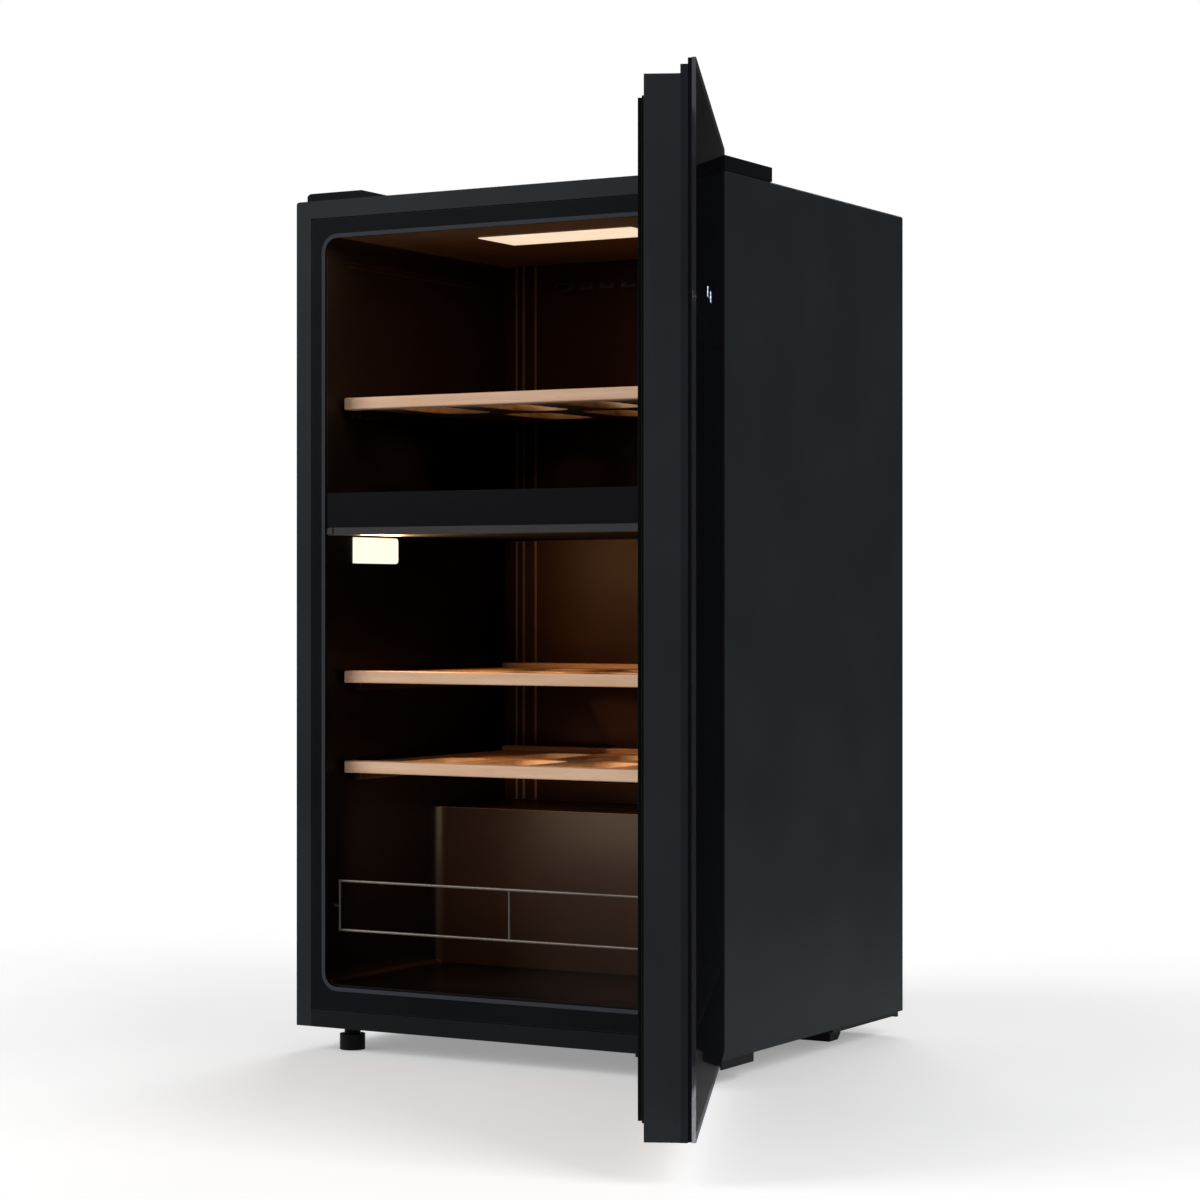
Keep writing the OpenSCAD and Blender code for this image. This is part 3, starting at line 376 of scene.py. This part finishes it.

# Tuned to the photo: painted highlights in the grooves, painted lamp light on the ceiling, and painted
# shade on the liner floor and lower side walls. They stand in for light and shade that the render doesn't
# reach
for side in (-1, 1):
    for groove_x in GROOVES_X:
        repaint_place(DUCT, {"X": (side * groove_x, GROOVE_HIGHLIGHT_HALF)}, (112, 96, 74))
liner_low, liner_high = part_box("inner_liner")
lower_zone = middle_and_half(liner_low.z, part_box("divider_strip")[0].z)
# Painted shade on the lower side walls
for wall_x in (liner_low.x, liner_high.x):
    repaint_place(LINER, {"X": (wall_x, WALL_SHADE_HALF), "Z": lower_zone}, (14, 8, 6))
# Painted shade on the liner floor
repaint_place(LINER, {"Z": (liner_low.z, FLOOR_SHADE_AND_CEILING_LIGHT_HALF)}, (12, 6, 4))
# Painted lamp light on the liner ceiling
repaint_place(LINER, {"Z": (liner_high.z, FLOOR_SHADE_AND_CEILING_LIGHT_HALF)}, (116, 86, 60))

# Painted highlight along the free end of the front glass, paler than its faces
free_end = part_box("outer_shell")[0].x - HINGE["pos_m"][0]
glass_tree = GLASS_FRONT.node_tree
glass_end_highlight = inside(glass_tree, door_coords(glass_tree), {"X": (free_end, GLASS_END_HIGHLIGHT_HALF)})
repaint(GLASS_FRONT, glass_end_highlight, (255, 255, 255))


# ---------- which node wears which material ----------

LOOKS = {
    PAINT: ["outer_shell", "rear_panel"],
    PAINT_DARK: ["bottom_plate", "compressor_tray", "rear_bay_cover", "rear_base_rail",
                 "hinge_bottom_bracket"],
    FRAME: ["face_frame"],
    DOOR: ["door_frame"],
    TRIM: ["door_trim"],
    PRINT: ["glass_border"],
    LINER: ["inner_liner"],
    DUCT: ["upper_duct_cover", "lower_duct_cover"],
    PANEL: ["divider_trim"],
    SLAB: ["divider_core"],
    STRIP: ["divider_strip"],
    BLACK: ["left_foot", "right_foot", "rear_foot_rail", "power_inlet", "upper_fan_housing",
            "lower_fan_housing", "upper_fan_rotor", "lower_fan_rotor", "drip_tray"],
    CAP: ["hinge_top_cover", "blank_cap"],
    GASKET: ["door_gasket"],
    RUBBER: ["compressor_mounts", "drain_tube"],
    PALE: ["ceiling_lamp_housing", "wall_lamp_housing", "temperature_sensors", "control_box",
           "door_bushes"],
    FOAM: ["insulation_foam"],
    STEEL: ["hinge_top_pin", "hinge_bottom_pin", "machine_screws"],
    PLATE: ["hinge_top_plate"],
    ALUMINIUM: ["upper_evaporator", "lower_evaporator"],
    SPACER: ["glass_spacer"],
    COPPER: ["filter_drier", "refrigerant_lines"],
    CAN: ["compressor", "condenser_coil"],
    WIRE: ["bottle_guard"],
    BEECH_FRONT: ["upper_shelf_rail", "middle_shelf_rail", "lower_shelf_rail"],
    BEECH_BOARD: ["upper_shelf_board", "middle_shelf_board", "lower_shelf_board"],
    CEILING_LIGHT: ["ceiling_lamp_lens"],
    WALL_LIGHT: ["wall_lamp_lens"],
    DISPLAY: ["display_module"],
    GLASS_FRONT: ["front_glass"],
    GLASS_INNER: ["inner_glass"],
}
for material, names in LOOKS.items():
    for name in names:
        mesh = NODES[name].data
        mesh.materials.clear()
        mesh.materials.append(material)


# ---------- softened edges ----------

EDGE_MM = {
    "upper_shelf_rail": 1.6, "middle_shelf_rail": 1.6, "lower_shelf_rail": 1.6,
    "upper_shelf_board": 0.7, "middle_shelf_board": 0.7, "lower_shelf_board": 0.7,
    "door_frame": 0.6, "door_trim": 0.5, "front_glass": 0.4, "divider_trim": 1.2,
    "hinge_top_cover": 0.6, "blank_cap": 1.0, "rear_foot_rail": 1.0,
    "ceiling_lamp_lens": 0.4, "wall_lamp_lens": 0.6,
}


def soften(name, radius_mm):
    """Rounds a node's sharp edges with modifiers, which leave its own mesh as it is."""
    weld_gap, sharp_degrees = 1e-5, 40
    node = NODES[name]
    weld = node.modifiers.new("weld", "WELD")
    weld.merge_threshold = weld_gap
    bevel = node.modifiers.new("round", "BEVEL")
    bevel.width = radius_mm / 1000
    bevel.segments = 2
    bevel.limit_method = "ANGLE"
    bevel.angle_limit = math.radians(sharp_degrees)
    bevel.harden_normals = True
    bevel.use_clamp_overlap = True


for name, radius_mm in EDGE_MM.items():
    soften(name, radius_mm)


# ---------- interior light ----------


def area_light(name, location, direction, size, energy, colour=(1, 1, 1)):
    """Rectangular light that shines in the direction given."""
    data = bpy.data.lights.new(name, "AREA")
    data.shape = "RECTANGLE"
    data.size, data.size_y = size
    data.energy = energy
    data.color = colour
    light = bpy.data.objects.new(name, data)
    light.location = location
    light.rotation_euler = Vector(direction).to_track_quat("-Z", "Y").to_euler()
    bpy.context.scene.collection.objects.link(light)


def lamp_light(name, lens, direction, size, energy, colour):
    """Light just off a lamp's lens, so that the interior is lit by it."""
    standoff = 0.006
    low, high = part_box(lens)
    location = (low + high) / 2 + Vector(direction) * standoff
    area_light(name, location, direction, size, energy, colour)


def step_light():
    """Soft warm light across the lowest bay, from behind the bottle guard to the step."""
    share, height = 0.8, 0.05
    behind, below = 0.01, 0.06
    guard_low, guard_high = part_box("bottle_guard")
    location = (0, guard_high.y + behind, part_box("lower_shelf_rail")[0].z - below)
    size = (share * (guard_high.x - guard_low.x), height)
    area_light("step_lamp", location, (0, 1, -0.1), size, 0.5, (1.0, 0.74, 0.52))


lamp_light("upper_lamp", "ceiling_lamp_lens", (0, 0, -1), (0.17, 0.06), 0.18, (1.0, 0.6, 0.27))
lamp_light("lower_lamp", "wall_lamp_lens", (1, 0, 0), (0.07, 0.02), 0.86, (1.0, 0.56, 0.24))
step_light()


# ---------- stage, studio light and camera ----------


def make_floor():
    """Pale floor that fades into the background away from the cooler."""
    half = 6.0
    below = 0.0005
    fade_from, fade_to = 0.45, 1.3
    bm = bmesh.new()
    for x, y in ((-half, -half), (half, -half), (half, half), (-half, half)):
        bm.verts.new((x, y, -below))
    bm.faces.new(bm.verts)
    mesh = bpy.data.meshes.new("floor")
    bm.to_mesh(mesh)
    bm.free()
    floor = bpy.data.objects.new("floor", mesh)
    bpy.context.scene.collection.objects.link(floor)
    mat, tree, shader = start_material("floor_paper")
    where = object_coords(tree)
    cloud = noise(tree, where, 3, 3)
    tree.links.new(ramp(tree, cloud, grey(0.9), grey(0.94)), shader.inputs["Base Color"])
    shader.inputs["Roughness"].default_value = 0.9
    shader.inputs["Specular IOR Level"].default_value = 0.1
    shader.inputs["Emission Color"].default_value = grey(1.0)
    shader.inputs["Emission Strength"].default_value = 0.3
    distance = node_at(tree, "ShaderNodeVectorMath", operation="LENGTH")
    tree.links.new(where, distance.inputs[0])
    fade = node_at(tree, "ShaderNodeMapRange", interpolation_type="SMOOTHSTEP")
    fade.inputs["From Min"].default_value = fade_from
    fade.inputs["From Max"].default_value = fade_to
    fade.inputs["To Min"].default_value = 1.0
    fade.inputs["To Max"].default_value = 0.0
    tree.links.new(distance.outputs["Value"], fade.inputs["Value"])
    tree.links.new(fade.outputs["Result"], shader.inputs["Alpha"])
    mesh.materials.append(mat)


def studio_light(name, location, size, energy):
    """Large light aimed at the middle of the cooler."""
    aim = Vector((0, 0, 0.42))
    area_light(name, location, aim - Vector(location), size, energy)


make_floor()
studio_light("key", (3.4, -1.2, 2.4), (2.4, 2.4), 88)
studio_light("fill", (-2.6, -3.0, 2.2), (2.6, 2.6), 112)
studio_light("rim", (-1.0, 3.2, 2.6), (2.4, 1.6), 55)


def make_world():
    """White backdrop that lights the cooler only a little, so that dark surfaces stay dark."""
    seen, cast = 1.0, 0.16
    world = bpy.data.worlds.new("studio")
    world.use_nodes = True
    tree = world.node_tree
    background = tree.nodes["Background"]
    background.inputs["Color"].default_value = grey(1.0)
    path = node_at(tree, "ShaderNodeLightPath")
    strength = node_at(tree, "ShaderNodeMapRange")
    strength.inputs["To Min"].default_value = cast
    strength.inputs["To Max"].default_value = seen
    tree.links.new(path.outputs["Is Camera Ray"], strength.inputs["Value"])
    tree.links.new(strength.outputs["Result"], background.inputs["Strength"])
    bpy.context.scene.world = world


make_world()
bpy.context.scene.view_settings.view_transform = "Standard"

camera_data = bpy.data.cameras.new("camera")
camera_data.lens = 91.25
camera_data.sensor_width = 36
camera = bpy.data.objects.new("camera", camera_data)
camera.location = (1.54122, -2.68393, 0.44718)
camera.rotation_euler = (math.radians(90.03), 0, math.radians(29.96))
bpy.context.scene.collection.objects.link(camera)
bpy.context.scene.camera = camera
